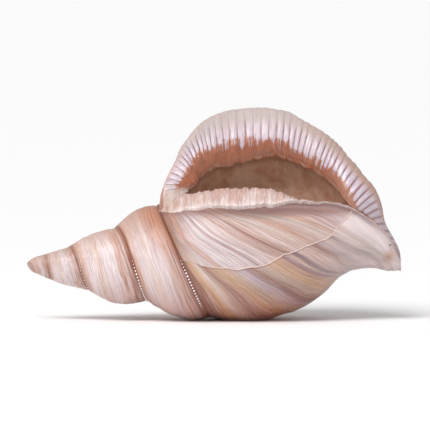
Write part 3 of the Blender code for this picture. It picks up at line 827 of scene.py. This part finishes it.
def lip_material(streaks):
    """The lip: chalky outside, then pearly ribs, then a smooth orange-brown slope into the mouth. Towards the
    right end the rib tops carry a painted highlight and the grooves a painted shadow.
    """
    material, w, shader = new_material("lip", 0.3, coat_roughness=0.15)
    along, across = w.uv("growth")
    phase = w.uv("seam")[0]
    x, _, z = w.place()
    rib = w.absolute(w.math("SINE", w.times(phase, math.pi)))
    along_ribs, across_ribs = w.times(across, 0.4), w.times(phase, 0.2)
    wide, lines, hair, _ = grouped(w, streaks, Along=along_ribs, Across=across_ribs, Seed=5.0)
    blot = w.minus(w.noise(w.vector(w.times(along, 30.0), w.times(across, 8.0)), 1.0, 3.0), 0.5)
    edge = w.total((w.curve(along, TEETH_EDGE), 1.0), (w.minus(rib, 0.7), 0.09), (w.minus(lines, 0.5), 0.12),
                   (blot, 0.3))
    inside = w.minus(across, edge)
    orange = w.step(inside, -0.06, 0.05)
    outside = w.minus(w.plus(w.curve(along, CHALK_EDGE), w.times(blot, 0.2)), across)
    chalk = w.step(outside, -0.2, 0.16)
    groove = w.step(rib, 0.42, 0.0)
    pearl = w.mix(w.step(lines, 0.3, 0.9), rgb(226, 210, 218), rgb(206, 182, 190))
    pearl = w.tint(pearl, w.step(along, 0.55, 0.8), 0.6, rgb(204, 186, 200))
    shadow = w.times(w.step(along, 0.6, 0.78), w.step(rib, 0.65, 0.2))
    pearl = w.tint(pearl, shadow, 0.7, rgb(142, 112, 118))
    # Painted highlight: paler tops of the ribs towards the lip's right end.
    painted_rib_highlight = w.times(w.step(rib, 0.7, 1.0), w.step(along, 0.5, 0.75))
    painted_rib_highlight = w.times(painted_rib_highlight, w.step(wide, 0.2, 0.6))
    pearl = w.tint(pearl, painted_rib_highlight, 0.5, rgb(236, 228, 242))
    pearl = w.tint(pearl, groove, 0.65, rgb(160, 112, 104))
    beige = w.mix(w.step(along, 0.45, 0.8), rgb(202, 186, 182), rgb(184, 150, 138))
    beige = w.mix(w.step(along, 0.25, 0.1), beige, rgb(202, 168, 158))
    beige = w.tint(beige, groove, 0.15, rgb(172, 142, 132))
    beige = w.tint(beige, w.step(lines, 0.5, 0.9), 0.25, rgb(186, 156, 146))
    warm = w.mix(w.step(along, 0.05, 0.4), rgb(176, 98, 62), rgb(164, 96, 68))
    warm = w.mix(w.step(blot, -0.1, 0.2), warm, rgb(146, 84, 58))
    warm = w.tint(warm, w.step(hair, 0.55, 0.9), 0.45, rgb(204, 136, 104))
    warm = w.tint(warm, w.step(along, 0.6, 0.8), 0.4, rgb(186, 140, 122))
    colour = w.mix(chalk, pearl, beige)
    end = w.step(along, 0.82, 0.88)
    colour = w.tint(colour, end, 0.45, rgb(176, 148, 154))
    colour = w.mix(orange, colour, warm)
    # The lip's end beside the ledge takes the ledge's cream, made paler partly as a painted highlight like
    # the ledge's lit rim.
    cream = w.mix(0.4, cream_stripes(w, streaks, x, across)[0], rgb(250, 234, 222))
    joint = w.times(w.step(w.plus(z, w.times(blot, 8.0)), 73.0, 67.0), w.step(along, 0.3, 0.1))
    colour = w.mix(joint, colour, cream)
    corner = w.times(w.step(x, -26.0, -27.6), w.step(z, 74.0, 70.0))
    colour = w.tint(colour, corner, 0.85, rgb(168, 112, 90))
    crease = w.step(across, 0.965, 0.99)
    colour = w.tint(colour, w.times(crease, 0.75), w.step(blot, -0.1, 0.12), rgb(200, 158, 134))
    w.feed(shader.inputs["Roughness"], w.blend(chalk, 0.24, 0.6))
    w.feed(shader.inputs["Coat Weight"], w.blend(chalk, 0.5, 0.0))
    cut = w.times(w.blend(orange, -1.0, 0.0), w.blend(chalk, 1.0, 0.2))
    cut = w.times(w.times(groove, cut), w.minus(1.0, joint))
    dress(w, shader, colour, w.total((cut, 1.0), (hair, -0.3), (blot, 0.6), (crease, 0.8)), 0.0005)
    return material


def ledge_material(streaks):
    """The cream ledge with stripes across it, and a painted highlight along its front rim."""
    material, w, shader = new_material("ledge", 0.34, 0.25)
    across = w.uv("growth")[1]
    x = w.place()[0]
    colour, wide, lines = cream_stripes(w, streaks, x, across)
    # The ledge's front rim is paler, partly its own cream and partly a painted highlight where the rim
    # catches the light.
    pale_rim_and_highlight = w.times(w.step(across, 0.4, 0.0), w.step(x, -26.0, -18.0))
    colour = w.tint(colour, pale_rim_and_highlight, 0.6, rgb(238, 222, 220))
    colour = w.tint(colour, w.step(x, -16.0, -26.0), 0.35, rgb(190, 158, 140))
    colour = w.tint(colour, w.step(across, 0.55, 1.0), 0.5, rgb(196, 158, 146))
    dress(w, shader, colour, w.total((lines, 0.8), (wide, 0.8)), 0.0006)
    return material


def hollow_material():
    """The brown inside, mottled, with painted shade just inside its rims."""
    material, w, shader = new_material("hollow", 0.45)
    across = w.uv("growth")[1]
    spot = w.vector(*w.place())
    mottle = w.noise(spot, 0.09, 4.0, 0.6)
    grain = w.noise(spot, 0.35, 3.0, 0.6)
    colour = w.mix(w.step(mottle, 0.35, 0.65), rgb(190, 146, 120), rgb(212, 182, 160))
    colour = w.tint(colour, w.step(grain, 0.5, 0.8), 0.4, rgb(180, 122, 94))
    # Painted shade: darker just inside the hollow's rims, under the lip and the ledge.
    colour = w.tint(colour, w.step(across, 0.25, 0.0), 0.5, rgb(120, 86, 70))
    dress(w, shader, colour, w.total((mottle, 1.0), (grain, 0.5)), 0.0012)
    return material


def suture_beads(material):
    """Beads in the sutures of the shell's lower half, smaller towards the apex and at a row's ends."""
    steps = np.linspace(SUTURE_ANGLES[0], SUTURE_ANGLES[-1], SUTURE_STEPS)
    reach = suture_length(steps)
    lengths = np.arange(60.0, reach[-1], BEAD_PITCH)
    angles = np.interp(lengths, reach, steps)
    lift = 0.3 + 0.45 * clamp((300.0 - lengths) / 60.0)
    centres = around_axis(suture_station(angles) + BEAD_SHIFT, angles, suture_radius(angles) + lift)
    height = centres[:, 2]
    ends = clamp((height - 7.0) / 5.0) * clamp((35.0 - height) / 8.0)
    sizes = BEAD_RADIUS * ends ** 0.5 * np.clip(lengths / 210.0, 0.4, 1.0)
    sizes *= np.random.default_rng(3).uniform(0.85, 1.12, len(sizes))
    made = []
    for centre, size in zip(centres, sizes):
        if size < 0.2:
            continue
        place = tuple(in_scene(centre))
        bpy.ops.mesh.primitive_ico_sphere_add(subdivisions=2, radius=size * MM, location=place)
        bpy.context.object.data.materials.append(material)
        made.append(bpy.context.object)
    return made


def line_height(x):
    """Height in mm of the raised line on the body's front."""
    wiggle = 0.55 * ripple(x / 6.0, 0.0 * x, 31) + 0.25 * ripple(x / 2.2, 0.0 * x, 32)
    return smooth_curve(*zip(*RAISED_LINE), x) + wiggle


def raised_line(context, body, material):
    """The thin raised line, laid on the body as it shows from the front."""
    tree = BVHTree.FromObject(body, context.evaluated_depsgraph_get())
    places = np.arange(RAISED_LINE[0][0], RAISED_LINE[-1][0], 0.5)
    outline = bpy.data.curves.new("line", "CURVE")
    outline.dimensions = "3D"
    outline.bevel_depth = 0.3 * MM
    outline.bevel_resolution = 1
    outline.use_fill_caps = True
    spline = outline.splines.new("POLY")
    spline.points.add(len(places) - 1)
    for point, x, z in zip(spline.points, places, line_height(places)):
        spot, normal, _, _ = tree.ray_cast(Vector((x, -100.0, z)) * MM, Vector((0.0, 1.0, 0.0)))
        if spot is None:
            raise RuntimeError("the raised line misses the body")
        point.co = (*(spot - normal.normalized() * math.copysign(0.08 * MM, -normal.y)), 1.0)
        point.radius = 0.35 + 0.65 * min(1.0, (x - places[0]) / 25.0)
    line = bpy.data.objects.new("line", outline)
    context.collection.objects.link(line)
    deselect()
    line.select_set(True)
    context.view_layer.objects.active = line
    bpy.ops.object.convert(target="MESH")
    line.data.materials.append(material)
    return line


def count(name, description, default, low):
    return IntProperty(name=name, description=description, default=default, min=low)


def metres(name, description, default):
    return FloatProperty(name=name, description=description, default=default, unit="LENGTH",
                         subtype="DISTANCE")


class ShellSettings(bpy.types.PropertyGroup):
    """Sizes and colours that a user would change."""

    lip_ribs: count("Lip ribs", "Ribs along the mouth's outer edge", 52, 8)
    rib_height: metres("Rib height", "Height of a rib on the lip", 0.0011)
    lip_roll: metres("Lip roll", "How far the lip swells out", 0.0075)
    fold_height: metres("Fold height", "Height of the growth folds", 0.0003)
    columns: count("Columns", "Facets round the axis", 120, 12)
    whorl_rows: count("Whorl rows", "Facets across a whorl of the spire", 22, 4)
    mouth_rows: count("Mouth rows", "Facets along the mouth's edge", 440, 40)
    lip_rings: count("Lip rings", "Facets across the lip", 24, 4)
    ledge_rings: count("Ledge rings", "Facets across the ledge", 12, 3)
    hollow_rings: count("Hollow rings", "Facets down each side of the hollow", 12, 4)
    floor_colour: FloatVectorProperty(name="Floor", description="Colour of the floor", subtype="COLOR",
                                      size=4, default=rgb(245, 245, 245), min=0.0, max=1.0)


class SHELL_OT_conch(bpy.types.Operator):
    """Model the shell in place of its plain solid"""

    bl_idname = "shell.conch"
    bl_label = "Conch"

    def execute(self, context):
        settings = context.scene.shell_settings
        streaks = streak_group()
        whorls = whorl_material(streaks, bead_group())
        lip = lip_material(streaks)
        ledge = ledge_material(streaks)
        hollow = hollow_material()
        made = spire_patches(settings, whorls)
        made.append(body_patch(settings, whorls))
        made.append(raised_line(context, made[-1], plain_material("line", rgb(224, 198, 190), 0.4)))
        made += suture_beads(plain_material("beads", rgb(244, 230, 228), 0.3))
        made.append(lip_patch(settings, lip))
        inner, inner_edge = ledge_patch(settings, ledge)
        made.append(inner)
        throat = scalloped_crest(body_share(settings), settings)[1]
        made.append(hollow_patch(settings, throat, True, hollow))
        made.append(hollow_patch(settings, inner_edge, False, hollow))
        deselect()
        for grid in made:
            grid.select_set(True)
        conch = made[0]
        context.view_layer.objects.active = conch
        bpy.ops.object.join()
        conch.name = "conch"
        conch.data.name = "conch"
        bpy.ops.object.mode_set(mode="EDIT")
        bpy.ops.mesh.select_all(action="SELECT")
        bpy.ops.mesh.remove_doubles(threshold=0.000002)
        bpy.ops.mesh.normals_make_consistent(inside=False)
        bpy.ops.mesh.select_all(action="SELECT")
        bpy.ops.mesh.bisect(plane_co=(0.0, 0.0, 0.0), plane_no=(0.0, 0.0, 1.0), use_fill=True,
                            clear_inner=True, threshold=0.000001)
        bpy.ops.object.mode_set(mode="OBJECT")
        bpy.ops.object.shade_smooth_by_angle(angle=math.radians(50.0))
        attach(conch, "root")
        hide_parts("shell")
        return {"FINISHED"}


class SHELL_OT_stage(bpy.types.Operator):
    """Set the floor, the lights and the camera"""

    bl_idname = "shell.stage"
    bl_label = "Stage"

    def execute(self, context):
        settings = context.scene.shell_settings
        deselect()
        bpy.ops.mesh.primitive_plane_add(size=80.0, location=(0.0, 0.0, 0.0))
        floor = context.object
        floor.name = "floor"
        floor.data.materials.append(plain_material("floor", settings.floor_colour, 0.9))
        world = bpy.data.worlds.new("soft_sky")
        context.scene.world = world
        world.use_nodes = True
        sky = world.node_tree.nodes["Background"].inputs
        sky["Color"].default_value = (1.0, 1.0, 1.0, 1.0)
        sky["Strength"].default_value = 0.55
        add_light("key", "SUN", 2.1, (0.0, 0.0, 0.0), (0.45, 0.62, -1.0)).angle = math.radians(35.0)
        add_light("gleam", "AREA", 1.6, (-0.25, -0.8, 0.9), (0.25, 0.8, -0.85)).size = 0.35
        aim_camera(context.scene)
        context.scene.view_settings.view_transform = "Standard"
        return {"FINISHED"}


PHOTO_SIZE = 430
MM_PER_PIXEL = 0.5348
PHOTO_ORIGIN = (214.0, 320.0)     # the pixel of the point on the floor under the shell's middle
CAMERA_DISTANCE = 3.0
CAMERA_ELEVATION = 3.0
SENSOR = 36.0


def add_light(name, kind, energy, place, toward):
    lamp = bpy.data.lights.new(name, kind)
    lamp.energy = energy
    light = bpy.data.objects.new(name, lamp)
    light.location = place
    light.rotation_euler = Vector(toward).to_track_quat("-Z", "Y").to_euler()
    bpy.context.scene.collection.objects.link(light)
    return lamp


def aim_camera(scene):
    lens = bpy.data.cameras.new("camera")
    camera = bpy.data.objects.new("camera", lens)
    scene.collection.objects.link(camera)
    middle = 0.5 * PHOTO_SIZE
    scale = MM_PER_PIXEL * MM
    target = Vector(((middle - PHOTO_ORIGIN[0]) * scale, AXIS_Y * MM, (PHOTO_ORIGIN[1] - middle) * scale))
    tilt = math.radians(CAMERA_ELEVATION)
    toward = Vector((0.0, -math.cos(tilt), math.sin(tilt)))
    camera.location = target + toward * CAMERA_DISTANCE
    camera.rotation_euler = (-toward).to_track_quat("-Z", "Y").to_euler()
    lens.sensor_width = SENSOR
    lens.lens = SENSOR * CAMERA_DISTANCE / (PHOTO_SIZE * scale)
    lens.clip_end = 200.0
    scene.camera = camera


class SHELL_PT_panel(bpy.types.Panel):
    """Lists the shell's settings and steps"""

    bl_label = "Conch shell"
    bl_space_type = "VIEW_3D"
    bl_region_type = "UI"
    bl_category = "Shell"

    def draw(self, context):
        settings = context.scene.shell_settings
        for name in ShellSettings.__annotations__:
            self.layout.prop(settings, name)
        for step in (SHELL_OT_conch, SHELL_OT_stage):
            self.layout.operator(step.bl_idname)


CLASSES = (ShellSettings, SHELL_OT_conch, SHELL_OT_stage, SHELL_PT_panel)


def register():
    for kind in CLASSES:
        bpy.utils.register_class(kind)
    bpy.types.Scene.shell_settings = PointerProperty(type=ShellSettings)


def unregister():
    del bpy.types.Scene.shell_settings
    for kind in reversed(CLASSES):
        bpy.utils.unregister_class(kind)


def main():
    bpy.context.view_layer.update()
    register()
    bpy.ops.shell.conch()
    bpy.ops.shell.stage()


if __name__ == "__main__":
    main()
